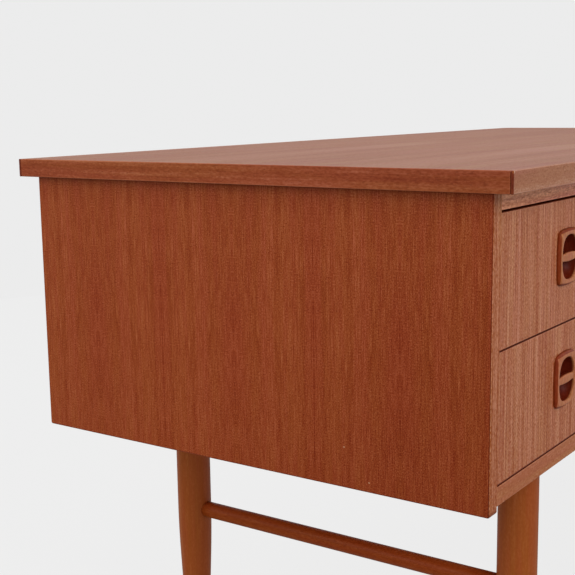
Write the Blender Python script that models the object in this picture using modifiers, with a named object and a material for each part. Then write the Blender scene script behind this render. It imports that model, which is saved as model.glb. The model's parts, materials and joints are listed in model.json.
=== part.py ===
"""Writing desk: a veneered top on two pedestals, two drawers in each, on turned legs joined by stretchers.

Metres, +Z up. The origin is on the floor under the middle of the desk, the drawers open towards -Y.
"""

import math

import bmesh
import bpy

# Overall size
WIDTH = 1.436
DEPTH = 0.650
HEIGHT = 0.730
GAP = 0.0003  # between glued or screwed neighbours

# Desktop
TOP_THICK = 0.0214
LIPPING = 0.0030
SIDE_OVERHANG = 0.0132
FRONT_OVERHANG = 0.0242
REAR_OVERHANG = 0.0193

# Pedestal
PEDESTAL_WIDTH = 0.3674
PANEL = 0.0173
PANEL_BOTTOM = 0.3941
PANEL_CORNER = 0.0025  # round on the lower corners of each side panel
PANEL_CORNER_STEPS = 3
RAIL_BOTTOM = 0.6909
RAIL_DEPTH = 0.060
BOARD_TOP = 0.4210
BOARD_BOTTOM = 0.4010
BACK_PANEL = 0.008
BACK_INSET = 0.002

# Drawers: the bottom and top of each front, upper drawer first
DRAWER_FRONTS = ((0.5563, 0.6889), (0.4222, 0.5551))
FRONT_THICK = 0.020
FRONT_SIDE_GAP = 0.0006
BOX_LENGTH = 0.560
BOX_SIDE_GAP = 0.003
BOX_SIDE = 0.012
BOX_HEIGHT = 0.110
BOX_RISE = 0.008  # box sides above the lower edge of the front
BACK_DROP = 0.004
BOTTOM_THICK = 0.005
BOTTOM_RISE = 0.009  # bottom panel above the lower edge of the box sides
HOUSING = 0.005  # depth of the grooves that hold the bottom panel
HOUSING_SLACK = 0.0003

# Runners and the grooves that slide on them
RUNNER_HEIGHT = 0.012
RUNNER_RISE = 0.055  # runner's middle above the lower edge of the box sides
RUNNER_IN_GROOVE = 0.0048
GROOVE_DEPTH = 0.0055
GROOVE_SLACK = 0.0004
RUNNER_FRONT = 0.030  # from the front plane to the runner's end
RUNNER_BACK = 0.0120  # from the runner's other end to the back panel
STOP_GAP = 0.0005

# Pulls: a block with bowed, chamfered edges let into the front, with a bowl behind a cross bar
PULL_WIDTH = 0.0560
PULL_HEIGHT = 0.0605
PULL_BOW = 0.0023
PULL_SQUARENESS = 14.0  # power of the outline's curve: 2 is a circle, more is squarer
PULL_CHAMFER = 0.0024
PULL_PROUD = 0.0044
PULL_LET_IN = 0.0170
PULL_ABOVE_BOTTOM = (0.0712, 0.0719)  # pull's middle above each front's lower edge
BOWL_WIDTH = 0.0430
BOWL_HEIGHT = 0.0478
BOWL_SQUARENESS = 2.6
BOWL_DEPTH = 0.0190
BAR_END = 0.0063
BAR_MIDDLE = 0.0098
BAR_THICK = 0.0070
BAR_SET_BACK = 0.0004
POCKET_SLACK = 0.0003
OUTLINE_POINTS = 56

# Legs and stretchers
LEG_RADIUS = 0.0229
FOOT_RADIUS = 0.0133
TAPER_TOP = 0.211  # where the taper would start if it started sharply
TAPER_SOFT = 0.040
LEG_FRONT = 0.0731  # leg's axis behind the desktop's front edge
LEG_REAR = 0.0981  # leg's axis before the desktop's rear edge
STRETCHER_RADIUS = 0.0107
STRETCHER_HEIGHT = 0.2412
TENON = 0.012
BORE_DEPTH = 0.0135
LEG_STEPS = 32

FRONT_PLANE = -DEPTH / 2 + FRONT_OVERHANG
REAR_PLANE = DEPTH / 2 - REAR_OVERHANG
BACK_FACE = REAR_PLANE - BACK_INSET - BACK_PANEL  # inner face of the back panel
CARCASS_TOP = HEIGHT - TOP_THICK - GAP
PEDESTAL_MIDDLE = WIDTH / 2 - SIDE_OVERHANG - PEDESTAL_WIDTH / 2
INNER_HALF = PEDESTAL_WIDTH / 2 - PANEL

TEAK_VENEER = ((0.235, 0.047, 0.018), 0.42)
TEAK_TOP = ((0.300, 0.110, 0.050), 0.30)
TEAK_SOLID = ((0.255, 0.070, 0.018), 0.40)
TEAK_FRONT = ((0.352, 0.135, 0.077), 0.45)
TEAK_PULL = ((0.150, 0.032, 0.012), 0.28)
BEECH = ((0.480, 0.290, 0.150), 0.55)
PLYWOOD = ((0.430, 0.300, 0.180), 0.60)


def clear_scene():
    for item in list(bpy.data.objects):
        bpy.data.objects.remove(item, do_unlink=True)


def collection(name, hidden):
    made = bpy.data.collections.new(name)
    bpy.context.scene.collection.children.link(made)
    made.hide_render = hidden
    return made


def finish(name, wood):
    colour, roughness = wood
    material = bpy.data.materials.new(name)
    material.use_nodes = True
    shader = material.node_tree.nodes["Principled BSDF"]
    shader.inputs["Base Color"].default_value = (*colour, 1.0)
    shader.inputs["Roughness"].default_value = roughness
    shader.inputs["Metallic"].default_value = 0.0
    return material


def box_mesh(name, size):
    """A box of the given size, centred on its own origin."""
    shape = bmesh.new()
    bmesh.ops.create_cube(shape, size=1.0)
    bmesh.ops.scale(shape, vec=size, verts=shape.verts)
    mesh = bpy.data.meshes.new(name)
    shape.to_mesh(mesh)
    shape.free()
    return mesh


def spans(low, high):
    """Middle and size of the box between two corners."""
    middle = [(a + b) / 2 for a, b in zip(low, high)]
    size = [b - a for a, b in zip(low, high)]
    return middle, size


def board(name, low, high, wood, edge=0.0006):
    """A board between two corners, its edges eased."""
    middle, size = spans(low, high)
    made = bpy.data.objects.new(name, box_mesh(name, size))
    made.location = middle
    parts.objects.link(made)
    made.data.materials.append(finish(name, wood))
    if edge:
        eased = made.modifiers.new("eased edges", "BEVEL")
        eased.width = edge
        eased.segments = 1
        eased.limit_method = "ANGLE"
    return made


def round_lower_corners(mesh):
    """Rounds the two lower edges that run across a side panel's thickness."""
    shape = bmesh.new()
    shape.from_mesh(mesh)
    lower = []
    for edge in shape.edges:
        first, second = (vert.co for vert in edge.verts)
        if max(first.z, second.z) < 0 and first.y == second.y:
            lower.append(edge)
    bmesh.ops.bevel(
        shape, geom=lower, offset=PANEL_CORNER, segments=PANEL_CORNER_STEPS, profile=0.5, affect="EDGES"
    )
    shape.to_mesh(mesh)
    shape.free()


def hide_cutter(cutter):
    cutter.hide_render = True
    cutter.display_type = "WIRE"
    cutters.objects.link(cutter)
    return cutter


def box_cutter(name, low, high):
    middle, size = spans(low, high)
    cutter = bpy.data.objects.new(name, box_mesh(name, size))
    cutter.location = middle
    return hide_cutter(cutter)


def cut(target, cutter):
    difference = target.modifiers.new(cutter.name, "BOOLEAN")
    difference.operation = "DIFFERENCE"
    difference.solver = "EXACT"
    difference.object = cutter


def sided(side, near, far):
    """X range of something between two distances from the desk's middle, on the left (-1) or right (+1)."""
    return sorted((side * near, side * far))


def desktop():
    half_width = WIDTH / 2
    half_depth = DEPTH / 2
    low = HEIGHT - TOP_THICK
    core_x = half_width - LIPPING - GAP
    core_y = half_depth - LIPPING - GAP
    board("top_core", (-core_x, -core_y, low), (core_x, core_y, HEIGHT), TEAK_TOP, 0.0002)
    for name, side in (("front", -1), ("rear", 1)):
        near, far = sided(side, half_depth - LIPPING, half_depth)
        board(f"top_lipping_{name}", (-half_width, near, low), (half_width, far, HEIGHT), TEAK_SOLID)
    for name, side in (("left", -1), ("right", 1)):
        near, far = sided(side, half_width - LIPPING, half_width)
        board(f"top_lipping_{name}", (near, -core_y, low), (far, core_y, HEIGHT), TEAK_SOLID)


def pedestal(label, side):
    outer = PEDESTAL_MIDDLE + PEDESTAL_WIDTH / 2
    inner = PEDESTAL_MIDDLE - PEDESTAL_WIDTH / 2
    for name, near, far in (("outer_side", outer - PANEL, outer), ("inner_side", inner, inner + PANEL)):
        left, right = sided(side, near, far)
        low = (left, FRONT_PLANE, PANEL_BOTTOM)
        high = (right, REAR_PLANE, CARCASS_TOP)
        panel = board(f"{label}_{name}", low, high, TEAK_VENEER, 0.0008)
        round_lower_corners(panel.data)

    left, right = sided(side, PEDESTAL_MIDDLE - INNER_HALF + GAP, PEDESTAL_MIDDLE + INNER_HALF - GAP)
    rear = BACK_FACE - GAP
    low = (left, FRONT_PLANE, RAIL_BOTTOM)
    board(f"{label}_front_rail", low, (right, FRONT_PLANE + RAIL_DEPTH, CARCASS_TOP), TEAK_FRONT)
    low = (left, rear - RAIL_DEPTH, RAIL_BOTTOM)
    board(f"{label}_rear_rail", low, (right, rear, CARCASS_TOP), BEECH)
    low = (left, FRONT_PLANE, BOARD_BOTTOM)
    board(f"{label}_bottom_board", low, (right, rear, BOARD_TOP), TEAK_FRONT)
    low = (left, BACK_FACE, BOARD_BOTTOM)
    board(f"{label}_back_panel", low, (right, BACK_FACE + BACK_PANEL, CARCASS_TOP), TEAK_VENEER)


def runners(label, side, front_bottom):
    """The two strips that a drawer hangs on, one on each pedestal side."""
    middle = front_bottom + BOX_RISE + RUNNER_RISE
    reach = BOX_SIDE_GAP + RUNNER_IN_GROOVE
    start = FRONT_PLANE + RUNNER_FRONT
    end = BACK_FACE - RUNNER_BACK
    places = (
        ("inner", PEDESTAL_MIDDLE - INNER_HALF + GAP, PEDESTAL_MIDDLE - INNER_HALF + reach),
        ("outer", PEDESTAL_MIDDLE + INNER_HALF - reach, PEDESTAL_MIDDLE + INNER_HALF - GAP),
    )
    for name, near, far in places:
        left, right = sided(side, near, far)
        low = (left, start, middle - RUNNER_HEIGHT / 2)
        high = (right, end, middle + RUNNER_HEIGHT / 2)
        board(f"{label}_runner_{name}", low, high, BEECH)


def outline_solid(name, outline, low, high, chamfer=0.0):
    """A solid with the given outline between two heights along local Z, its ends chamfered inside it."""
    curve = bpy.data.curves.new(name, "CURVE")
    curve.dimensions = "2D"
    curve.fill_mode = "BOTH"
    curve.extrude = (high - low) / 2 - chamfer
    curve.bevel_depth = chamfer
    curve.bevel_resolution = 0
    curve.offset = -chamfer
    spline = curve.splines.new("POLY")
    spline.points.add(len(outline) - 1)
    for point, (x, y) in zip(spline.points, outline):
        point.co = (x, y, 0.0, 1.0)
    spline.use_cyclic_u = True
    return solid_of(curve, name, (low + high) / 2)


def squared(angle, power):
    """How far the unit circle is pushed out, in one direction, towards the square round it."""
    return (abs(math.cos(angle)) ** power + abs(math.sin(angle)) ** power) ** (-1 / power)


def pull_outline(grow):
    """A rectangle with bowed sides and tight round corners."""
    half_width = PULL_WIDTH / 2 + grow
    half_height = PULL_HEIGHT / 2 + grow
    outline = []
    for step in range(OUTLINE_POINTS):
        angle = math.tau * step / OUTLINE_POINTS
        reach = squared(angle, PULL_SQUARENESS)
        across, up = reach * math.cos(angle), reach * math.sin(angle)
        x = across * (half_width - PULL_BOW * up**2)
        y = up * (half_height - PULL_BOW * across**2)
        outline.append((x, y))
    return outline


def bar_outline():
    """The cross bar, thicker in its middle than at its ends, along local X and reaching past the rim."""
    half_length = BOWL_WIDTH / 2 + 0.002
    steps = 8
    upper = []
    for step in range(steps + 1):
        across = half_length * (2 * step / steps - 1)
        sag = (BAR_MIDDLE - BAR_END) / 2 * (across / (BOWL_WIDTH / 2)) ** 2
        upper.append((across, BAR_MIDDLE / 2 - sag))
    return upper + [(x, -y) for x, y in reversed(upper)]


def solid_of(curve, name, middle):
    """A welded mesh made from an extruded outline, moved along its own Z."""
    holder = bpy.data.objects.new(name, curve)
    mesh = bpy.data.meshes.new_from_object(holder)
    bpy.data.objects.remove(holder)
    shape = bmesh.new()
    shape.from_mesh(mesh)
    bmesh.ops.remove_doubles(shape, verts=shape.verts, dist=1e-6)
    bmesh.ops.translate(shape, vec=(0.0, 0.0, middle), verts=shape.verts)
    shape.to_mesh(mesh)
    shape.free()
    return mesh


def bowl_mesh(name):
    """Half a squared ellipsoid and a little more, its widest section just in front of the pull's face."""
    shape = bmesh.new()
    bmesh.ops.create_uvsphere(shape, u_segments=24, v_segments=14, radius=1.0)
    for vert in shape.verts:
        vert.co.xy *= squared(math.atan2(vert.co.y, vert.co.x), BOWL_SQUARENESS)
    bmesh.ops.scale(shape, vec=(BOWL_WIDTH / 2, BOWL_HEIGHT / 2, BOWL_DEPTH), verts=shape.verts)
    bmesh.ops.translate(shape, vec=(0.0, 0.0, PULL_PROUD + 0.0003), verts=shape.verts)
    mesh = bpy.data.meshes.new(name)
    shape.to_mesh(mesh)
    shape.free()
    return mesh


def facing_front(thing, x, z):
    """Stands an outline up, its local Z pointing out of the drawer front."""
    thing.location = (x, FRONT_PLANE, z)
    thing.rotation_euler = (math.radians(90), 0.0, 0.0)


def pull(name, x, z):
    mesh = outline_solid(name, pull_outline(0.0), -PULL_LET_IN, PULL_PROUD, PULL_CHAMFER)
    block = bpy.data.objects.new(name, mesh)
    parts.objects.link(block)
    block.data.materials.append(finish(name, TEAK_PULL))
    bar_front = PULL_PROUD - BAR_SET_BACK
    bar_mesh = outline_solid(f"{name}_bar", bar_outline(), bar_front - BAR_THICK, bar_front)
    bar = hide_cutter(bpy.data.objects.new(f"{name}_bar", bar_mesh))
    bowl = hide_cutter(bpy.data.objects.new(f"{name}_bowl", bowl_mesh(f"{name}_bowl")))
    for thing in (block, bowl, bar):
        facing_front(thing, x, z)
    cut(bowl, bar)
    cut(block, bowl)


def drawer(label, side, front_bottom, front_top, pull_rise):
    centre = side * PEDESTAL_MIDDLE
    half_front = INNER_HALF - FRONT_SIDE_GAP
    front_back = FRONT_PLANE + FRONT_THICK
    box_bottom = front_bottom + BOX_RISE
    box_top = box_bottom + BOX_HEIGHT
    box_end = FRONT_PLANE + BOX_LENGTH
    half_box = INNER_HALF - BOX_SIDE_GAP
    half_inside = half_box - BOX_SIDE
    panel_low = box_bottom + BOTTOM_RISE
    panel_high = panel_low + BOTTOM_THICK

    low = (centre - half_front, FRONT_PLANE, front_bottom)
    front = board(f"{label}_front", low, (centre + half_front, front_back, front_top), TEAK_FRONT)
    pull_height = front_bottom + pull_rise
    pocket_floor = -PULL_LET_IN - POCKET_SLACK
    pocket_mesh = outline_solid(f"{label}_pocket", pull_outline(POCKET_SLACK), pocket_floor, PULL_PROUD)
    pocket = hide_cutter(bpy.data.objects.new(f"{label}_pocket", pocket_mesh))
    facing_front(pocket, centre, pull_height)
    cut(front, pocket)
    pull(f"{label}_pull", centre, pull_height)

    groove_low = panel_low - HOUSING_SLACK
    groove_high = panel_high + HOUSING_SLACK
    reach = half_inside + HOUSING
    low = (centre - reach, front_back - HOUSING, groove_low)
    housing = box_cutter(f"{label}_housing", low, (centre + reach, box_end + 0.01, groove_high))
    cut(front, housing)

    runner_middle = box_bottom + RUNNER_RISE
    half_groove = RUNNER_HEIGHT / 2 + GROOVE_SLACK
    groove_start = FRONT_PLANE + RUNNER_FRONT - STOP_GAP
    for name, hand in (("side_left", -1), ("side_right", 1)):
        left, right = sorted((centre + hand * half_inside, centre + hand * half_box))
        low = (left, front_back + GAP, box_bottom)
        wall = board(f"{label}_{name}", low, (right, box_end, box_top), BEECH)
        cut(wall, housing)
        near, far = sorted((centre + hand * (half_box - GROOVE_DEPTH), centre + hand * (half_box + 0.01)))
        low = (near, groove_start, runner_middle - half_groove)
        high = (far, box_end + 0.01, runner_middle + half_groove)
        cut(wall, box_cutter(f"{label}_{name}_groove", low, high))

    half_back = half_inside - GAP
    low = (centre - half_back, box_end - BOX_SIDE, panel_high + GAP)
    high = (centre + half_back, box_end, box_top - BACK_DROP)
    board(f"{label}_back", low, high, BEECH)
    half_panel = reach - HOUSING_SLACK
    low = (centre - half_panel, front_back - HOUSING + HOUSING_SLACK, panel_low)
    board(f"{label}_bottom", low, (centre + half_panel, box_end - GAP, panel_high), PLYWOOD, 0.0)


def leg(name, x, y):
    """A turned leg: straight to just below the stretcher, then a softly started taper to the foot."""
    top = BOARD_BOTTOM - GAP
    profile = [(0.0, top), (LEG_RADIUS - 0.0008, top), (LEG_RADIUS, top - 0.0008)]
    taper = (LEG_RADIUS - FOOT_RADIUS) / TAPER_TOP
    for step in range(5):
        below = TAPER_SOFT * step / 2
        profile.append((LEG_RADIUS - taper * below ** 2 / (4 * TAPER_SOFT), TAPER_TOP + TAPER_SOFT - below))
    profile.append((FOOT_RADIUS + 0.0001, 0.0010))
    profile.append((FOOT_RADIUS - 0.0009, 0.0))
    profile.append((0.0, 0.0))

    shape = bmesh.new()
    ring = [shape.verts.new((radius, 0.0, height)) for radius, height in profile]
    for upper, lower in zip(ring, ring[1:]):
        shape.edges.new((upper, lower))
    mesh = bpy.data.meshes.new(name)
    shape.to_mesh(mesh)
    shape.free()
    made = bpy.data.objects.new(name, mesh)
    made.location = (x, y, 0.0)
    parts.objects.link(made)
    made.data.materials.append(finish(name, TEAK_SOLID))
    turned = made.modifiers.new("turned", "SCREW")
    turned.steps = LEG_STEPS
    turned.render_steps = LEG_STEPS
    turned.use_merge_vertices = True
    turned.merge_threshold = 0.0001
    turned.use_smooth_shade = True
    return made


def base(label, side):
    """One front leg, one rear leg and the stretcher bored into both."""
    x = side * PEDESTAL_MIDDLE
    front = -DEPTH / 2 + LEG_FRONT
    rear = DEPTH / 2 - LEG_REAR
    reach = LEG_RADIUS - TENON
    for name, y, inward in (("leg_front", front, 1), ("leg_rear", rear, -1)):
        made = leg(f"{label}_{name}", x, y)
        start = y + inward * (LEG_RADIUS - BORE_DEPTH)
        end = y + inward * (LEG_RADIUS + 0.01)
        bore = rod_mesh(f"{label}_{name}_bore", STRETCHER_RADIUS + GAP, abs(end - start))
        cutter = hide_cutter(bpy.data.objects.new(f"{label}_{name}_bore", bore))
        cutter.location = (x, (start + end) / 2, STRETCHER_HEIGHT)
        cut(made, cutter)
    length = rear - front - 2 * reach
    rod = rod_mesh(f"{label}_stretcher", STRETCHER_RADIUS, length)
    bar = bpy.data.objects.new(f"{label}_stretcher", rod)
    bar.location = (x, (front + rear) / 2, STRETCHER_HEIGHT)
    parts.objects.link(bar)
    bar.data.materials.append(finish(f"{label}_stretcher", TEAK_SOLID))


def rod_mesh(name, radius, length):
    """A round bar along Y, centred on its own origin."""
    shape = bmesh.new()
    bmesh.ops.create_cone(
        shape, cap_ends=True, segments=24, radius1=radius, radius2=radius, depth=length
    )
    quarter_turn = ((1, 0, 0), (0, 0, -1), (0, 1, 0))
    for vert in shape.verts:
        vert.co = [sum(a * b for a, b in zip(row, vert.co)) for row in quarter_turn]
    for face in shape.faces:
        face.smooth = len(face.verts) == 4
    mesh = bpy.data.meshes.new(name)
    shape.to_mesh(mesh)
    shape.free()
    return mesh


clear_scene()
parts = collection("writing_desk", hidden=False)
cutters = collection("cutters", hidden=True)

desktop()
for pedestal_label, pedestal_side in (("left", -1), ("right", 1)):
    pedestal(pedestal_label, pedestal_side)
    base(pedestal_label, pedestal_side)
    for level, rise, (bottom, top) in zip(("upper", "lower"), PULL_ABOVE_BOTTOM, DRAWER_FRONTS):
        drawer_label = f"{pedestal_label}_{level}"
        runners(drawer_label, pedestal_side, bottom)
        drawer(drawer_label, pedestal_side, bottom, top, rise)
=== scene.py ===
"""The writing desk's looks: teak boards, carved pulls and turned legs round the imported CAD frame.

Metres, +Z up, the desk's front towards -Y. Every piece keeps its vertices in the frame's own coordinates.
"""

import json
import math

import bmesh
import bpy
from mathutils import Matrix, Vector

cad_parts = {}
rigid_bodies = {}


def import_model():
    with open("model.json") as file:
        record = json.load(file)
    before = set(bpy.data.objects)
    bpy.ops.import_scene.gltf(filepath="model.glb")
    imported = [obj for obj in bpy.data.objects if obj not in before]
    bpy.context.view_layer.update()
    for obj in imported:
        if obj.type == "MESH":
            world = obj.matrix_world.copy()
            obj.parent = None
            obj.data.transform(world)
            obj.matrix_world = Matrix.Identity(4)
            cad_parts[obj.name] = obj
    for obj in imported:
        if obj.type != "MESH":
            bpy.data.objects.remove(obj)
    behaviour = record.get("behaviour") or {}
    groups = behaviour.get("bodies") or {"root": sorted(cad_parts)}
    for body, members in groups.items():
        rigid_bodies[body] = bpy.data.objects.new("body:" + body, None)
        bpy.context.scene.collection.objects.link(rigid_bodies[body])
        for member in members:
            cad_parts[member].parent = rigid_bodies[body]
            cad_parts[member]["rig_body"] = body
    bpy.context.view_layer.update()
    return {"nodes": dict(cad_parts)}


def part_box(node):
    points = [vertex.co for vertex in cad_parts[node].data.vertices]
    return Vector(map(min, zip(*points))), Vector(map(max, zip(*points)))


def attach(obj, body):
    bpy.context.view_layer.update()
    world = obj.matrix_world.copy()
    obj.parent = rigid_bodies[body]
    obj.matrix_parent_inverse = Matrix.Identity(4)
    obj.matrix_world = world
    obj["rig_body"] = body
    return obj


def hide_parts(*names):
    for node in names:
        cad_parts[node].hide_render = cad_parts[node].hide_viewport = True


# Camera, found from the vanishing lines of the photograph
CAMERA_PLACE = Vector((-1.6391, -0.7273, 0.7923))
CAMERA_AZIMUTH = math.radians(54.7426)  # from +Y towards +X
CAMERA_PITCH = math.radians(9.4929)  # downwards
CAMERA_ROLL = math.radians(0.8766)
CAMERA_LENS = 68.94  # mm, on a sensor 36 mm wide

# Studio
WALL = 0.838  # as the camera sees it
ROOM_LIGHT = 0.80
LOW_LIGHT = 0.36  # from below the desk
DIM_LIGHT = 0.12  # part of the reflected room left on its dim side
DIM_SIDE = (-0.90, 0.42, -0.12)
RANGE = ("From Min", "From Max", "To Min", "To Max")
FLOOR_RADIUS = 3.2
FLOOR_ALBEDO = 0.06
FLOOR_GLOW = 0.792

# Wood tones
GAMMA = 2.2
FIBRE = (420.0, 30.0, 240.0)  # fibres to the metre: across the grain, along it, and of the short flecks
EVEN_STEPS = (0.135, 0.135, 0.135)
SHEEN_STEPS = (0.105, 0.140, 0.180)  # for boards seen through their sheen

# Board edges
ROUND = 0.0008
ROUND_STEPS = 3
PANEL_CORNER = 0.0025  # lower corners of the pedestal sides, as in the CAD

# Legs and stretchers
LEG_SEGMENTS = 72
LEG_RINGS = 60
STRETCHER_SEGMENTS = 48
STRETCHER_RINGS = 24
FOOT_RADIUS = 0.0133
TAPER_TOP = 0.211  # where the taper would start if it started sharply
TAPER_SOFT = 0.040
FOOT_ROUND = 0.0015
TENON = 0.012  # stretcher's ends inside the legs, in the CAD

# Pulls, as in the CAD
PULL_BOW = 0.0023
PULL_SQUARENESS = 14.0
PULL_PROUD = 0.0044
PULL_CHAMFER = 0.0024
OPENING_WIDTH = 0.0430
OPENING_HEIGHT = 0.0478
OPENING_SQUARENESS = 2.6
BOWL_DEPTH = 0.0190
BAR_END = 0.0063
BAR_MIDDLE = 0.0098
BAR_THICK = 0.0070
BAR_SET_BACK = 0.0004
ARRIS = 0.0005  # rounding where the chamfer meets the face and the side
OPENING_EDGE = 0.0011
BAR_EDGE = 0.0016
BAR_FILLET = 0.0035
BAR_LET_IN = 0.0016  # each end of the bar inside the block
PULL_SEGMENTS = 144
# painted shade deep in the bowl, with darker end grain
BOWL_SHADE_TINT = (0.28, 0.070, 0.040)
CHAMFER_TINT = (0.53, 0.24, 0.12)

# Veneer leaves on the pedestal sides
LEAF = 0.1045
FIRST_JOINT = -0.2025
STREAK = 0.0600
PALE_STREAK = 0.0520
JOINT_LINE = 0.0011  # half the width of the line where two leaves meet

# Tints that multiply the wood: painted shade in the seams and along the arris behind a lipping, end grain,
# darker feet, painted shade below the top and towards the sides' lower front
# painted shade in the gaps round the drawer fronts, under the rail and on the bottom board's top
SEAM_SHADE_TINT = (0.36, 0.15, 0.06)
END_TINT = (0.44, 0.15, 0.04)
# painted shade along the arris behind a side panel's lipping
ARRIS_SHADE_TINT = (0.55, 0.40, 0.33)
SHADE_TINT = (0.45, 0.30, 0.25)
# darker along a side panel's foot and at its lipping's foot
FOOT_DARK_TINT = (0.62, 0.50, 0.45)
FRONTWARD_SHADE_TINT = (0.87, 0.79, 0.72)  # painted shade: the sides' lower front and the side lippings' front, darker and redder than the rest, where less light and reflection fall

# Where those tints begin and end, in metres
RUB_AND_HIGHLIGHT_REACH = 0.0018  # reach from an edge of the lighter band, partly worn by rubbing and partly painted highlight
STRIP_DEPTH = 0.0007  # lipping on a side panel's front, behind its foremost point
ARRIS_BAND = (0.0014, 0.0006)  # behind the lipping
SIDE_SHADE_SPAN = (0.55, 0.13)  # depth plus height: no painted shade above the first, full painted shade below the second
LIP_SHADE_SPAN = (-0.10, -0.30)  # depth: no painted shade behind the first, full painted shade in front of the second
TOP_SHADE = (0.0020, 0.0004)  # below a side panel's top
FOOT_LINE = (0.0018, 0.0008)  # above a side panel's foot
# the darker patch at the lipping's foot: above a side panel's foot
FOOT_DARK_SPAN = (0.0090, 0.0015)
FOOT_DARK_DEPTH = (0.0030, 0.0007)  # behind a side panel's foremost point
UPPER_FOOT_SEAM = (0.0010, 0.0005)  # above an upper drawer front's foot
LOWER_FOOT_SEAM = (0.0020, 0.0010)
TOP_SEAM = (0.0006, 0.0003)  # below a drawer front's top
RAIL_SEAM = (0.0008, 0.0002)  # above the rail's lower face
BOARD_SEAM = 0.0004  # below the bottom board's top
BOARD_SEAM_BACK = 0.0009  # behind the bottom board's front
END_BAND = (0.0014, 0.0008)  # from a lipping's end

# Nicks and specks: node, place, radius and colour
MARKS = (
    ("top_lipping_front", (-0.7175, -0.3250, 0.7289), 0.0022, (0.62, 0.42, 0.30)),
    ("left_outer_side", (-0.7060, -0.3008, 0.5480), 0.0016, (0.06, 0.015, 0.006)),
    ("left_outer_side", (-0.7048, -0.1358, 0.4382), 0.0011, (0.55, 0.30, 0.18)),
    ("left_outer_side", (-0.7048, -0.1660, 0.4048), 0.0011, (0.55, 0.30, 0.18)),
)

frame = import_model()


# ---------------------------------------------------------------- materials


class Graph:
    """A material's node tree, with short ways to add nodes and join them."""

    def __init__(self, name):
        self.material = bpy.data.materials.new(name)
        self.material.use_nodes = True
        self.tree = self.material.node_tree
        self.shader = self.tree.nodes["Principled BSDF"]

    def add(self, kind, **settings):
        node = self.tree.nodes.new(kind)
        for key, value in settings.items():
            setattr(node, key, value)
        return node

    def feed(self, socket, value):
        if isinstance(value, bpy.types.NodeSocket):
            self.tree.links.new(value, socket)
        elif value is not None:
            socket.default_value = value

    def math(self, operation, *values, clamp=False):
        node = self.add("ShaderNodeMath", operation=operation, use_clamp=clamp)
        for socket, value in zip(node.inputs, values):
            self.feed(socket, value)
        return node.outputs[0]

    def ramp(self, value, low, high, start=0.0, end=1.0):
        """Maps low..high to start..end, smoothly and clamped."""
        node = self.add("ShaderNodeMapRange", interpolation_type="SMOOTHSTEP")
        for socket, number in zip(node.inputs, (value, low, high, start, end)):
            self.feed(socket, number)
        return node.outputs[0]

    def mix(self, factor, first, second, blend="MIX"):
        node = self.add("ShaderNodeMix", data_type="RGBA", blend_type=blend)
        self.feed(node.inputs["Factor"], factor)
        self.feed(node.inputs[6], rgba(first))
        self.feed(node.inputs[7], rgba(second))
        return node.outputs[2]

    def axes(self):
        """The object coordinates' X, Y and Z."""
        place = self.add("ShaderNodeTexCoord")
        split = self.add("ShaderNodeSeparateXYZ")
        self.feed(split.inputs[0], place.outputs["Object"])
        return {axis: split.outputs[axis] for axis in "XYZ"}

    def noise(self, across, through, along, scales, detail=2.0, roughness=0.5, distortion=0.0):
        """Noise stretched by one scale across and through the board and another along its grain."""
        joined = self.add("ShaderNodeCombineXYZ")
        wide, thick, long = scales
        for socket, value, scale in zip(joined.inputs, (across, through, along), (wide, thick, long)):
            self.feed(socket, self.math("MULTIPLY", value, scale))
        texture = self.add("ShaderNodeTexNoise")
        self.feed(texture.inputs["Vector"], joined.outputs[0])
        self.feed(texture.inputs["Scale"], 1.0)
        self.feed(texture.inputs["Detail"], detail)
        self.feed(texture.inputs["Roughness"], roughness)
        self.feed(texture.inputs["Distortion"], distortion)
        return texture.outputs["Fac"]


def rgba(colour):
    if isinstance(colour, bpy.types.NodeSocket):
        return colour
    return (*colour, 1.0)


class Tones:
    """A wood's dark, middle and light colour, its gloss, and how its fibres and figure read."""

    def __init__(
        self, dark, middle, light, roughness, specular,
        figure=1.0, pores=1.0, fine=1.0, flecks=1.0, fibre=FIBRE, broad=42.0, sway=0.006, hue=1.0,
    ):
        self.dark = dark
        self.middle = middle
        self.light = light
        self.roughness = roughness
        self.specular = specular
        self.figure = figure
        self.pores = pores
        self.fine = fine
        self.fibre = fibre
        self.broad = broad
        self.sway = sway
        self.flecks = flecks
        self.hue = hue


def toned(middle, roughness, specular, steps=EVEN_STEPS, **how):
    """Tones round one middle colour, one visible step darker and one lighter in every channel."""
    levels = [value ** (1 / GAMMA) for value in middle]
    dark = [max(level - step, 0.0) ** GAMMA for level, step in zip(levels, steps)]
    light = [(level + step) ** GAMMA for level, step in zip(levels, steps)]
    return Tones(dark, middle, light, roughness, specular, **how)


SIDE = toned(
    (0.292, 0.051, 0.0095), 0.50, 0.11,
    figure=0.22, pores=0.7, fine=0.60, flecks=1.3, fibre=(1100.0, 45.0, 620.0),
)
TOP = toned(
    (0.252, 0.084, 0.035), 0.50, 0.20, SHEEN_STEPS,
    figure=0.75, pores=0.3, fine=0.16, fibre=(600.0, 14.0, 150.0), broad=14.0,
)
FRONT_GRAIN = {
    "figure": 0.35, "fine": 1.75, "flecks": 0.6, "fibre": (900.0, 5.0, 400.0), "sway": 0.0012, "hue": 0.6,
}
FRONT = toned((0.374, 0.109, 0.033), 0.46, 0.16, SHEEN_STEPS, **FRONT_GRAIN)
STRIP = toned((0.400, 0.128, 0.040), 0.46, 0.16, SHEEN_STEPS, **FRONT_GRAIN)  # lipping of a side panel
RAIL = toned((0.610, 0.216, 0.113), 0.44, 0.14, figure=0.9, pores=0.9, fine=0.8, fibre=(420.0, 12.0, 160.0))
BOARD_EDGE = toned((0.370, 0.112, 0.034), 0.44, 0.16, SHEEN_STEPS, figure=0.4, pores=0.4, fine=0.4)
LIP = toned(
    (0.288, 0.063, 0.0185), 0.46, 0.11,
    figure=0.8, pores=0.6, fine=0.30, fibre=(600.0, 25.0, 300.0),
)
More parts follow.
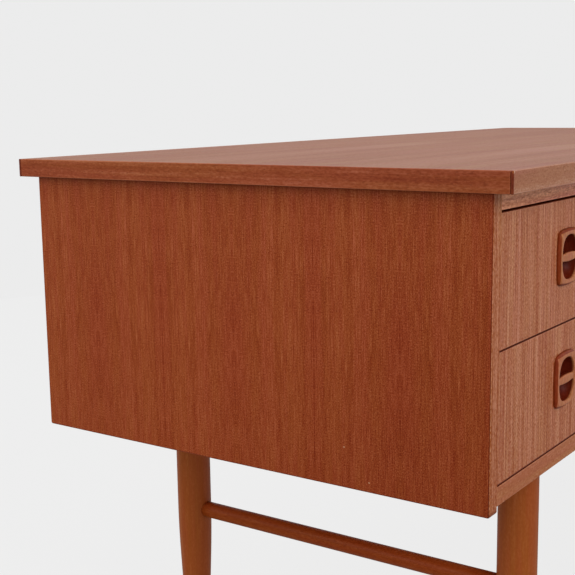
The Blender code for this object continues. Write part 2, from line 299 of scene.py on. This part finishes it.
LIP_FRONT = toned(
    (0.330, 0.118, 0.060), 0.46, 0.16, SHEEN_STEPS,
    figure=0.6, pores=0.6, fine=0.34, fibre=(600.0, 25.0, 300.0),
)
LEG = toned((0.320, 0.071, 0.011), 0.42, 0.14, figure=0.25, pores=0.1, fine=0.12)
STRETCHER = toned((0.274, 0.046, 0.006), 0.42, 0.09, figure=0.4, pores=0.2, fine=0.2)
PULL = toned((0.385, 0.125, 0.047), 0.36, 0.08, figure=0.3, pores=0.3, fine=0.3)
BEECH = toned((0.520, 0.320, 0.170), 0.55, 0.30, figure=0.25, pores=0.2, fine=0.45, hue=0.3)
PLYWOOD = toned((0.470, 0.320, 0.180), 0.60, 0.30, figure=0.3, pores=0.2, fine=0.45, hue=0.3)


def above(place_on_axis, distances):
    return tuple(place_on_axis + distance for distance in distances)


def below(place_on_axis, distances):
    return tuple(place_on_axis - distance for distance in distances)


def edge_mask(graph, axes, low, high):
    """1 on a box's edges, fading to 0 where the lighter band of rubbing and painted highlight ends."""
    gaps = []
    for axis, near, far in zip("XYZ", low, high):
        from_low = graph.math("SUBTRACT", axes[axis], near)
        from_high = graph.math("SUBTRACT", far, axes[axis])
        gaps.append(graph.math("MINIMUM", from_low, from_high))
    total = graph.math("ADD", graph.math("ADD", gaps[0], gaps[1]), gaps[2])
    least = graph.math("MINIMUM", graph.math("MINIMUM", gaps[0], gaps[1]), gaps[2])
    most = graph.math("MAXIMUM", graph.math("MAXIMUM", gaps[0], gaps[1]), gaps[2])
    second = graph.math("SUBTRACT", graph.math("SUBTRACT", total, least), most)
    return graph.ramp(second, 0.0, RUB_AND_HIGHLIGHT_REACH, 1.0, 0.0)


def grain_pattern(graph, axes, tones, grain, across, leaf, seed):
    """The wood's colour, and the fibres, bands and pores along its grain."""
    through = next(axis for axis in "XYZ" if axis not in (grain, across))
    along = axes[grain]
    side = axes[across]
    depth = graph.math("ADD", axes[through], seed)

    sway = graph.noise(side, depth, along, (9.0, 9.0, 2.2), 1.0)
    side = graph.math("MULTIPLY_ADD", graph.math("SUBTRACT", sway, 0.5), tones.sway, side)
    if leaf:
        width, joint = leaf
        side = graph.math("PINGPONG", graph.math("SUBTRACT", side, joint), width)

    fine, long, short = tones.fibre
    figure = graph.noise(side, depth, along, (tones.broad, tones.broad, 1.1), 3.0, 0.55, 0.25)
    bands = graph.noise(side, depth, along, (170.0, 170.0, 3.0), 2.0, 0.5)
    fibre = graph.noise(side, depth, along, (fine, fine, long), 2.0, 0.6)
    fleck = graph.noise(side, depth, along, (fine * 1.1, fine * 1.1, short), 1.0, 0.5)
    pore = graph.noise(side, depth, along, (fine * 1.5, fine * 1.5, short * 0.7), 1.0, 0.5)
    warmth = graph.noise(side, depth, along, (70.0, 70.0, 4.0), 2.0, 0.6)

    shade = 0.5
    for pattern, strength in (
        (figure, 1.0 * tones.figure),
        (bands, 0.6 * tones.figure),
        (fibre, 1.6 * tones.fine),
        (fleck, 1.8 * tones.fine * tones.flecks),
    ):
        shade = graph.math("MULTIPLY_ADD", graph.math("SUBTRACT", pattern, 0.5), strength, shade)
    if leaf:
        for middle, reach, change in (
            (STREAK, 0.006, -0.08),
            (PALE_STREAK, 0.006, 0.05),
            (0.0, JOINT_LINE, -0.14),
            (width, JOINT_LINE, -0.14),
        ):
            away = graph.math("ABSOLUTE", graph.math("SUBTRACT", side, middle))
            shade = graph.math("MULTIPLY_ADD", graph.ramp(away, 0.0, reach, 1.0, 0.0), change, shade)
    pores = graph.ramp(pore, 0.58, 0.68)

    colours = graph.add("ShaderNodeValToRGB")
    ramp = colours.color_ramp
    ramp.elements[0].position = 0.05
    ramp.elements[0].color = rgba(tones.dark)
    ramp.elements[1].position = 0.95
    ramp.elements[1].color = rgba(tones.light)
    ramp.elements.new(0.5).color = rgba(tones.middle)
    graph.feed(colours.inputs[0], shade)
    colour = colours.outputs[0]
    gold = graph.mix(1.0, colour, (1.00, 1.08, 0.95), "MULTIPLY")
    rose = graph.mix(1.0, colour, (1.00, 0.94, 1.05), "MULTIPLY")
    turn = graph.ramp(warmth, 0.35, 0.65, 0.5 - 0.5 * tones.hue, 0.5 + 0.5 * tones.hue)
    colour = graph.mix(turn, rose, gold)
    darker = [value * 0.5 for value in tones.dark]
    colour = graph.mix(graph.math("MULTIPLY", pores, 0.40 * tones.pores), colour, darker)
    return colour, fibre, bands, pores


def teak(name, tones, grain, across, box=None, leaf=None, seed=0.0, lipped=False):
    """Oiled wood whose edges are lighter, partly from rubbing and partly painted highlight, and if lipped a
    strip of other wood glued on its front edge, with painted shade along the arris behind it.
    """
    graph = Graph(name)
    axes = graph.axes()
    colour, fibre, bands, pores = grain_pattern(graph, axes, tones, grain, across, leaf, seed)
    if box:
        # lighter edges: partly worn by rubbing, partly painted highlight on the rounded arrises
        edge = edge_mask(graph, axes, *box)
        rub_and_highlight = graph.math("MULTIPLY", edge, graph.ramp(bands, 0.35, 0.65, 0.15, 0.55))
        colour = graph.mix(rub_and_highlight, colour, tones.light)
    if lipped:
        plane = box[0][1] + STRIP_DEPTH
        strip = grain_pattern(graph, axes, STRIP, "Z", "X", None, seed)[0]
        # painted shade along the arris behind the lipping
        arris = graph.ramp(axes["Y"], *above(plane, ARRIS_BAND))
        colour = graph.mix(arris, colour, graph.mix(1.0, colour, ARRIS_SHADE_TINT, "MULTIPLY"))
        colour = graph.mix(graph.math("LESS_THAN", axes["Y"], plane), colour, strip)
    graph.feed(graph.shader.inputs["Base Color"], colour)

    rough = graph.math("MULTIPLY_ADD", graph.math("SUBTRACT", fibre, 0.5), 0.22, tones.roughness)
    graph.feed(graph.shader.inputs["Roughness"], graph.math("MULTIPLY_ADD", pores, 0.12, rough))
    graph.shader.inputs["Specular IOR Level"].default_value = tones.specular

    height = graph.math("MULTIPLY_ADD", pores, -0.7, fibre)
    bump = graph.add("ShaderNodeBump")
    bump.inputs["Strength"].default_value = 0.35
    bump.inputs["Distance"].default_value = 0.00012
    graph.feed(bump.inputs["Height"], height)
    graph.feed(graph.shader.inputs["Normal"], bump.outputs[0])
    for node, place_of_mark, radius, paint in MARKS:
        if node == name:
            mark(graph, place_of_mark, radius, paint)
    return graph


def painted(graph):
    return graph.shader.inputs["Base Color"].links[0].from_socket


def mark(graph, centre, radius, paint):
    """A nick or a speck of another colour."""
    away = graph.add("ShaderNodeVectorMath", operation="DISTANCE")
    graph.feed(away.inputs[0], graph.add("ShaderNodeTexCoord").outputs["Object"])
    away.inputs[1].default_value = centre
    near = graph.ramp(away.outputs["Value"], radius * 0.5, radius, 1.0, 0.0)
    graph.feed(graph.shader.inputs["Base Color"], graph.mix(near, painted(graph), paint))


def stain(graph, tint, *limits):
    """Multiplies the wood by a tint where every limit is passed: an axis or a sum of axes, from and to."""
    axes = graph.axes()
    mask = 1.0
    for names, outside, inside in limits:
        value = axes[names[0]]
        for name in names[1:]:
            value = graph.math("ADD", value, axes[name])
        mask = graph.math("MULTIPLY", graph.ramp(value, outside, inside), mask)
    colour = painted(graph)
    stained = graph.mix(1.0, colour, tint, "MULTIPLY")
    graph.feed(graph.shader.inputs["Base Color"], graph.mix(mask, colour, stained))
    return graph


# ---------------------------------------------------------------- pieces


def place(name, mesh, wood, node):
    """Shows a mesh instead of a CAD node, on that node's body."""
    mesh.materials.clear()
    mesh.materials.append(wood.material)
    piece = bpy.data.objects.new(name, mesh)
    bpy.context.scene.collection.objects.link(piece)
    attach(piece, frame["nodes"][node]["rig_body"])
    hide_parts(node)
    return piece


def finished(shape, name):
    bmesh.ops.recalc_face_normals(shape, faces=shape.faces)
    mesh = bpy.data.meshes.new(name)
    shape.to_mesh(mesh)
    shape.free()
    mesh.polygons.foreach_set("use_smooth", [True] * len(mesh.polygons))
    return mesh


def rounded_board(node, wood, corner=0.0):
    """A board the size of its CAD node, with softly rounded edges, and rounder lower corners if given."""
    low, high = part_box(node)
    shape = bmesh.new()
    bmesh.ops.create_cube(shape, size=1.0)
    bmesh.ops.scale(shape, vec=high - low, verts=shape.verts)
    bmesh.ops.translate(shape, vec=(low + high) / 2, verts=shape.verts)
    if corner:
        lower = []
        for edge in shape.edges:
            first, second = (vert.co for vert in edge.verts)
            if max(first.z, second.z) < low.z + corner and abs(first.x - second.x) > corner:
                lower.append(edge)
        bmesh.ops.bevel(shape, geom=lower, offset=corner, segments=6, profile=0.5, affect="EDGES")
    creases = [edge for edge in shape.edges if edge.calc_face_angle(0.0) > math.radians(40)]
    bmesh.ops.bevel(
        shape,
        geom=creases,
        offset=ROUND,
        segments=ROUND_STEPS,
        profile=0.5,
        affect="EDGES",
        clamp_overlap=True,
    )
    piece = place("v_" + node, finished(shape, "v_" + node), wood, node)
    even = piece.modifiers.new("flat faces", "WEIGHTED_NORMAL")
    even.keep_sharp = False
    even.weight = 100
    return piece


def board_box(node):
    low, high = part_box(node)
    return tuple(low), tuple(high)


def side_wood(node, box, seed):
    """A pedestal side: painted shade on its lower front and below the top, darker along its foot and at the
    lipping's foot.
    """
    (_, front, foot), (_, _, head) = box
    wood = teak(node, SIDE, "Z", "Y", box, (LEAF, FIRST_JOINT), seed, lipped=True)
    # painted shade towards the lower front
    stain(wood, FRONTWARD_SHADE_TINT, ("YZ", *SIDE_SHADE_SPAN))
    stain(wood, SHADE_TINT, ("Z", *below(head, TOP_SHADE)))
    # darker along the foot and at the lipping's foot
    stain(wood, FOOT_DARK_TINT, ("Z", *above(foot, FOOT_LINE)))
    return stain(wood, FOOT_DARK_TINT, ("Z", *above(foot, FOOT_DARK_SPAN)), ("Y", *above(front, FOOT_DARK_DEPTH)))


def front_wood(node, box, seed):
    """A drawer front, with painted shade on the edges that meet its neighbours."""
    (_, _, foot), (_, _, head) = box
    wood = teak(node, FRONT, "Z", "X", box, None, seed)
    foot_seam = LOWER_FOOT_SEAM if "lower" in node else UPPER_FOOT_SEAM
    # painted shade along the front's foot and top, inside the gaps
    stain(wood, SEAM_SHADE_TINT, ("Z", *above(foot, foot_seam)))
    return stain(wood, SEAM_SHADE_TINT, ("Z", *below(head, TOP_SEAM)))


def dress_boards():
    for index, node in enumerate(sorted(frame["nodes"])):
        box = board_box(node)
        (left, front, foot), (right, _, head) = box
        seed = 0.37 * index
        if node == "top_core":
            rounded_board(node, teak(node, TOP, "X", "Y", None, (0.128, -0.31), seed))
        elif node in ("top_lipping_front", "top_lipping_rear"):
            wood = teak(node, LIP_FRONT, "X", "Z", box, None, seed)
            stain(wood, END_TINT, ("X", *above(left, END_BAND)))
            stain(wood, END_TINT, ("X", *below(right, END_BAND)))
            rounded_board(node, wood)
        elif node.startswith("top_lipping"):
            wood = teak(node, LIP, "Y", "Z", box, None, seed)
            # painted shade, darker towards the front
            rounded_board(node, stain(wood, FRONTWARD_SHADE_TINT, ("Y", *LIP_SHADE_SPAN)))
        elif node.endswith(("outer_side", "inner_side")):
            rounded_board(node, side_wood(node, box, seed), PANEL_CORNER)
        elif node.endswith("back_panel"):
            rounded_board(node, teak(node, SIDE, "Z", "X", box, (LEAF, 0.0), seed))
        elif node.endswith("front_rail"):
            wood = teak(node, RAIL, "X", "Z", box, None, seed)
            # painted shade above the rail's lower face, in the gap over the drawer below
            rounded_board(node, stain(wood, SEAM_SHADE_TINT, ("Z", *above(foot, RAIL_SEAM))))
        elif node.endswith("bottom_board"):
            wood = teak(node, BOARD_EDGE, "X", "Z", box, None, seed)
            # painted shade on the bottom board's top at its front, in the gap below the drawer front
            stain(wood, SEAM_SHADE_TINT, ("Z", head - BOARD_SEAM, head), ("Y", front, front + BOARD_SEAM_BACK))
            rounded_board(node, wood)
        elif node.endswith(("rear_rail", "_back")):
            rounded_board(node, teak(node, BEECH, "X", "Z", box, None, seed))
        elif "_runner_" in node:
            rounded_board(node, teak(node, BEECH, "Y", "Z", box, None, seed))
        elif node.endswith(("side_left", "side_right")):
            dress(node, teak(node, BEECH, "Y", "Z", box, None, seed))
        elif node.endswith("_bottom"):
            dress(node, teak(node, PLYWOOD, "Y", "X", None, None, seed))
        elif node.endswith("_front") and "leg" not in node:
            dress(node, front_wood(node, box, 0.11 * (index // 14)))


def dress(node, wood):
    """A CAD node that stays, with a new material."""
    mesh = frame["nodes"][node].data
    mesh.materials.clear()
    mesh.materials.append(wood.material)


def loft(shape, rings, closed_ends=True):
    """Faces between rings of points, with a flat cap at each end."""
    made = [[shape.verts.new(point) for point in ring] for ring in rings]
    for first, second in zip(made, made[1:]):
        count = len(first)
        for index in range(count):
            after = (index + 1) % count
            shape.faces.new((first[index], first[after], second[after], second[index]))
    if closed_ends:
        shape.faces.new(made[0])
        shape.faces.new(reversed(made[-1]))


def turned_leg(node):
    low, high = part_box(node)
    middle = (low + high) / 2
    radius = (high.x - low.x) / 2
    taper = (radius - FOOT_RADIUS) / TAPER_TOP
    profile = []
    for step in range(4):
        angle = math.radians(90 * step / 3)
        inset = FOOT_ROUND * (1 - math.sin(angle))
        profile.append((FOOT_RADIUS - inset, FOOT_ROUND * (1 - math.cos(angle))))
    for step in range(1, LEG_RINGS + 1):
        height = FOOT_ROUND + (high.z - ROUND - FOOT_ROUND) * step / LEG_RINGS
        below = TAPER_TOP + TAPER_SOFT - height
        if below <= 0:
            width = radius
        elif below < 2 * TAPER_SOFT:
            width = radius - taper * below**2 / (4 * TAPER_SOFT)
        else:
            width = FOOT_RADIUS + taper * height
        profile.append((width, height))
    profile.append((radius - ROUND, high.z))
    rings = []
    for width, height in profile:
        ring = []
        for index in range(LEG_SEGMENTS):
            angle = math.tau * index / LEG_SEGMENTS
            ring.append((middle.x + width * math.cos(angle), middle.y + width * math.sin(angle), height))
        rings.append(ring)
    shape = bmesh.new()
    loft(shape, rings)
    wood = teak(node, LEG, "Z", "X", None, None, 0.21 * len(node) + middle.y)
    return place("v_" + node, finished(shape, "v_" + node), wood, node)


def stretcher(node, leg_node):
    """A round bar whose ends are coped to the legs."""
    low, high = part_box(node)
    leg_low, leg_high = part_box(leg_node)
    leg_radius = (leg_high.x - leg_low.x) / 2
    radius = (high.x - low.x) / 2
    middle = (low + high) / 2
    first = low.y + TENON - leg_radius
    last = high.y - TENON + leg_radius
    rings = []
    for station in range(STRETCHER_RINGS + 1):
        share = station / STRETCHER_RINGS
        ring = []
        for index in range(STRETCHER_SEGMENTS):
            angle = math.tau * index / STRETCHER_SEGMENTS
            x = radius * math.cos(angle)
            cope = math.sqrt(leg_radius**2 - x**2)
            y = (first + cope) * (1 - share) + (last - cope) * share
            ring.append((middle.x + x, y, middle.z + radius * math.sin(angle)))
        rings.append(ring)
    shape = bmesh.new()
    loft(shape, rings)
    wood = teak(node, STRETCHER, "Y", "X", None, None, 0.53)
    return place("v_" + node, finished(shape, "v_" + node), wood, node)


def squared(angle, power):
    """A point of the unit circle, pushed out towards the square round it."""
    reach = (abs(math.cos(angle)) ** power + abs(math.sin(angle)) ** power) ** (-1 / power)
    return reach * math.cos(angle), reach * math.sin(angle)


def pull_section(let_in):
    """The block's half section from its back to the bowl's middle: an outline, an inset and a height."""
    shoulder = PULL_PROUD - PULL_CHAMFER
    slope = math.radians(45)
    for height in (-let_in, -let_in / 2, 0.0, shoulder - 3 * ARRIS):
        yield "outer", 0.0, height
    for centre, first, last in (
        ((2 * ARRIS, shoulder - ARRIS), 0.0, slope),
        ((PULL_CHAMFER + ARRIS, PULL_PROUD - 2 * ARRIS), slope, 2 * slope),
    ):
        for step in range(5):
            turn = first + (last - first) * step / 4
            inset = centre[0] - 2 * ARRIS * math.cos(turn)
            yield "outer", inset, centre[1] + 2 * ARRIS * math.sin(turn)
    for step in range(6):
        turn = math.radians(90 * step / 5)
        inset = -OPENING_EDGE * (1 - math.sin(turn))
        yield "inner", inset, PULL_PROUD - OPENING_EDGE * (1 - math.cos(turn))
    depth = BOWL_DEPTH - OPENING_EDGE
    steps = 24
    for step in range(1, steps):
        turn = math.radians(90 * step / steps)
        yield "bowl", math.cos(turn), PULL_PROUD - OPENING_EDGE - depth * math.sin(turn)


def pull_block(width, height, let_in):
    """The block with its chamfered edges and the bowl, in local X, Y and Z out of the front."""
    rings = []
    for outline, amount, z in pull_section(let_in):
        ring = []
        for index in range(PULL_SEGMENTS):
            angle = math.tau * index / PULL_SEGMENTS
            if outline == "outer":
                across, up = squared(angle, PULL_SQUARENESS)
                x = across * (width / 2 - amount - PULL_BOW * up**2)
                y = up * (height / 2 - amount - PULL_BOW * across**2)
            else:
                across, up = squared(angle, OPENING_SQUARENESS)
                grown, scale = (0.0, amount) if outline == "bowl" else (amount, 1.0)
                x = across * (OPENING_WIDTH / 2 - grown) * scale
                y = up * (OPENING_HEIGHT / 2 - grown) * scale
            ring.append((x, y, z))
        rings.append(ring)
    shape = bmesh.new()
    loft(shape, rings)
    return finished(shape, "pull_block")


def pull_bar():
    """The cross bar: thicker in its middle, flared into the rim at its ends, its edges rounded."""
    half = OPENING_WIDTH / 2 + BAR_LET_IN
    stations = 48
    corner_steps = 5
    rings = []
    for station in range(stations + 1):
        x = half * math.sin(math.radians(-90 + 180 * station / stations))
        inside = OPENING_WIDTH / 2 - abs(x)
        tall = BAR_MIDDLE / 2 - (BAR_MIDDLE - BAR_END) / 2 * (x / (OPENING_WIDTH / 2)) ** 2
        if inside < BAR_FILLET:
            left = min(1.0, 1 - inside / BAR_FILLET)
            tall += BAR_FILLET * (1 - math.sqrt(1 - left**2))
        front = PULL_PROUD - BAR_SET_BACK
        back = front - BAR_THICK
        ring = []
        for corner, (sign_y, sign_z) in enumerate(((1, 1), (-1, 1), (-1, -1), (1, -1))):
            for step in range(corner_steps + 1):
                turn = math.radians(90 * (corner + step / corner_steps))
                middle_y = sign_y * (tall - BAR_EDGE)
                middle_z = front - BAR_EDGE if sign_z > 0 else back + BAR_EDGE
                ring.append((x, middle_y + BAR_EDGE * math.cos(turn), middle_z + BAR_EDGE * math.sin(turn)))
        rings.append(ring)
    shape = bmesh.new()
    loft(shape, rings)
    return finished(shape, "pull_bar")


def joined(first, second):
    """The union of two closed meshes, as one mesh."""
    holder = bpy.data.objects.new("first", first)
    other = bpy.data.objects.new("second", second)
    for thing in (holder, other):
        bpy.context.scene.collection.objects.link(thing)
    union = holder.modifiers.new("union", "BOOLEAN")
    union.operation = "UNION"
    union.solver = "EXACT"
    union.object = other
    bpy.context.view_layer.update()
    graph = bpy.context.evaluated_depsgraph_get()
    mesh = bpy.data.meshes.new_from_object(holder.evaluated_get(graph))
    for thing in (holder, other):
        bpy.data.objects.remove(thing)
    return mesh


def darken_round_face(graph, centre, size):
    """Wood darkened by hands and polish on the chamfers and sides round the face; painted shade, with
    darker end grain, deep in the bowl.
    """
    axes = graph.axes()
    reach = []
    half_width, half_height = size.x / 2, size.z / 2
    across = graph.math("ABSOLUTE", graph.math("SUBTRACT", axes["X"], centre.x))
    up = graph.math("ABSOLUTE", graph.math("SUBTRACT", axes["Z"], centre.z))
    for here, other, half, other_half in (
        (across, up, half_width, half_height),
        (up, across, half_height, half_width),
    ):
        bow = graph.math("POWER", graph.math("DIVIDE", other, other_half), 2.0)
        edge = graph.math("MULTIPLY_ADD", bow, -PULL_BOW, half)
        reach.append(graph.math("SUBTRACT", edge, here))
    inside = graph.math("MINIMUM", *reach)
    rim = graph.ramp(inside, PULL_CHAMFER - 0.0002, PULL_CHAMFER + 0.0002, 1.0, 0.0)
    # painted shade, with darker end grain, from 1 mm to 3 mm behind the pull's face
    deep = graph.ramp(axes["Y"], centre.y - PULL_PROUD + 0.0010, centre.y - PULL_PROUD + 0.0030)
    colour = painted(graph)
    chamfer = graph.mix(1.0, colour, CHAMFER_TINT, "MULTIPLY")
    bowl = graph.mix(1.0, colour, BOWL_SHADE_TINT, "MULTIPLY")
    graph.feed(graph.shader.inputs["Base Color"], graph.mix(rim, graph.mix(deep, colour, bowl), chamfer))


def pulls():
    model = None
    for node in sorted(frame["nodes"]):
        if not node.endswith("_pull"):
            continue
        low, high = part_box(node)
        if model is None:
            let_in = high.y - low.y - PULL_PROUD
            model = joined(pull_block(high.x - low.x, high.z - low.z, let_in), pull_bar())
        mesh = model.copy()
        centre = Vector(((low.x + high.x) / 2, low.y + PULL_PROUD, (low.z + high.z) / 2))
        upright = Matrix.Rotation(math.radians(90), 4, "X")
        mesh.transform(Matrix.Translation(centre) @ upright)
        wood = teak(node, PULL, "Z", "X", None, None, 0.3 + centre.z)
        darken_round_face(wood, centre, high - low)
        place("v_" + node, mesh, wood, node)


# ---------------------------------------------------------------- studio


def camera():
    level = Vector((math.sin(CAMERA_AZIMUTH), math.cos(CAMERA_AZIMUTH), 0.0))
    forward = level * math.cos(CAMERA_PITCH) + Vector((0.0, 0.0, -math.sin(CAMERA_PITCH)))
    right = Vector((math.cos(CAMERA_AZIMUTH), -math.sin(CAMERA_AZIMUTH), 0.0))
    down = forward.cross(right)
    turned_right = right * math.cos(CAMERA_ROLL) + down * math.sin(CAMERA_ROLL)
    turned_down = down * math.cos(CAMERA_ROLL) - right * math.sin(CAMERA_ROLL)
    lens = bpy.data.cameras.new("camera")
    lens.lens = CAMERA_LENS
    lens.sensor_width = 36.0
    lens.clip_start = 0.02
    lens.clip_end = 200.0
    thing = bpy.data.objects.new("camera", lens)
    bpy.context.scene.collection.objects.link(thing)
    turn = Matrix((turned_right, -turned_down, -forward)).transposed()
    thing.matrix_world = Matrix.Translation(CAMERA_PLACE) @ turn.to_4x4()
    bpy.context.scene.camera = thing


def area_light(name, place_at, aim, size, power, colour=(1.0, 1.0, 1.0)):
    lamp = bpy.data.lights.new(name, "AREA")
    lamp.shape = "RECTANGLE"
    lamp.size, lamp.size_y = size
    lamp.energy = power
    lamp.color = colour
    thing = bpy.data.objects.new(name, lamp)
    bpy.context.scene.collection.objects.link(thing)
    thing.location = place_at
    thing.rotation_euler = (Vector(aim) - Vector(place_at)).to_track_quat("-Z", "Y").to_euler()


def surroundings():
    """Even pale walls as the camera sees them; light dimmer from below, dim on one side in reflections."""
    world = bpy.data.worlds.new("studio")
    bpy.context.scene.world = world
    world.use_nodes = True
    tree = world.node_tree
    sky = tree.nodes["Background"]
    sky.inputs["Color"].default_value = (1.0, 1.0, 1.0, 1.0)
    direction = tree.nodes.new("ShaderNodeTexCoord")
    facing = tree.nodes.new("ShaderNodeVectorMath")
    facing.operation = "DOT_PRODUCT"
    facing.inputs[1].default_value = DIM_SIDE
    tree.links.new(direction.outputs["Generated"], facing.inputs[0])
    dim = tree.nodes.new("ShaderNodeMapRange")
    dim.interpolation_type = "SMOOTHSTEP"
    tree.links.new(facing.outputs["Value"], dim.inputs["Value"])
    for name, number in zip(RANGE, (0.75, 0.98, 1.0, DIM_LIGHT)):
        dim.inputs[name].default_value = number
    split = tree.nodes.new("ShaderNodeSeparateXYZ")
    tree.links.new(direction.outputs["Generated"], split.inputs[0])
    height = tree.nodes.new("ShaderNodeMapRange")
    height.interpolation_type = "SMOOTHSTEP"
    tree.links.new(split.outputs["Z"], height.inputs["Value"])
    for name, number in zip(RANGE, (-0.5, 0.1, LOW_LIGHT, ROOM_LIGHT)):
        height.inputs[name].default_value = number
    reflected = tree.nodes.new("ShaderNodeMath")
    reflected.operation = "MULTIPLY"
    tree.links.new(dim.outputs[0], reflected.inputs[0])
    tree.links.new(height.outputs[0], reflected.inputs[1])
    ray = tree.nodes.new("ShaderNodeLightPath")
    room = tree.nodes.new("ShaderNodeMix")
    tree.links.new(ray.outputs["Is Glossy Ray"], room.inputs["Factor"])
    tree.links.new(height.outputs[0], room.inputs["A"])
    tree.links.new(reflected.outputs[0], room.inputs["B"])
    seen = tree.nodes.new("ShaderNodeMix")
    tree.links.new(ray.outputs["Is Camera Ray"], seen.inputs["Factor"])
    tree.links.new(room.outputs["Result"], seen.inputs["A"])
    seen.inputs["B"].default_value = WALL
    tree.links.new(seen.outputs["Result"], sky.inputs["Strength"])


def floor():
    shape = bmesh.new()
    bmesh.ops.create_circle(shape, cap_ends=True, segments=96, radius=FLOOR_RADIUS)
    mesh = bpy.data.meshes.new("floor")
    shape.to_mesh(mesh)
    shape.free()
    thing = bpy.data.objects.new("floor", mesh)
    thing.location = (0.0, 0.0, -0.0002)
    thing.visible_diffuse = False
    thing.visible_glossy = False
    bpy.context.scene.collection.objects.link(thing)
    graph = Graph("floor")
    axes = graph.axes()
    cloud = graph.noise(axes["X"], axes["Y"], axes["Z"], (0.8, 0.8, 0.8), 2.0)
    low = (FLOOR_ALBEDO,) * 3
    high = (FLOOR_ALBEDO * 1.04,) * 3
    graph.feed(graph.shader.inputs["Base Color"], graph.mix(cloud, low, high))
    graph.shader.inputs["Roughness"].default_value = 0.9
    graph.shader.inputs["Specular IOR Level"].default_value = 0.0
    graph.shader.inputs["Emission Color"].default_value = (1.0, 1.0, 1.0, 1.0)
    graph.shader.inputs["Emission Strength"].default_value = FLOOR_GLOW
    mesh.materials.append(graph.material)


def studio():
    surroundings()
    floor()
    area_light("key", (-1.2, -2.6, 2.3), (-0.2, 0.0, 0.5), (1.8, 1.4), 32.0)
    area_light("left", (-2.5, 0.9, 1.6), (-0.7, 0.1, 0.6), (1.5, 1.3), 13.0)
    area_light("overhead", (0.3, 0.4, 2.9), (0.0, 0.0, 0.6), (2.6, 2.0), 20.0)
    bpy.context.scene.view_settings.view_transform = "Standard"


dress_boards()
for label in ("left", "right"):
    turned_leg(f"{label}_leg_front")
    turned_leg(f"{label}_leg_rear")
    stretcher(f"{label}_stretcher", f"{label}_leg_front")
pulls()
camera()
studio()
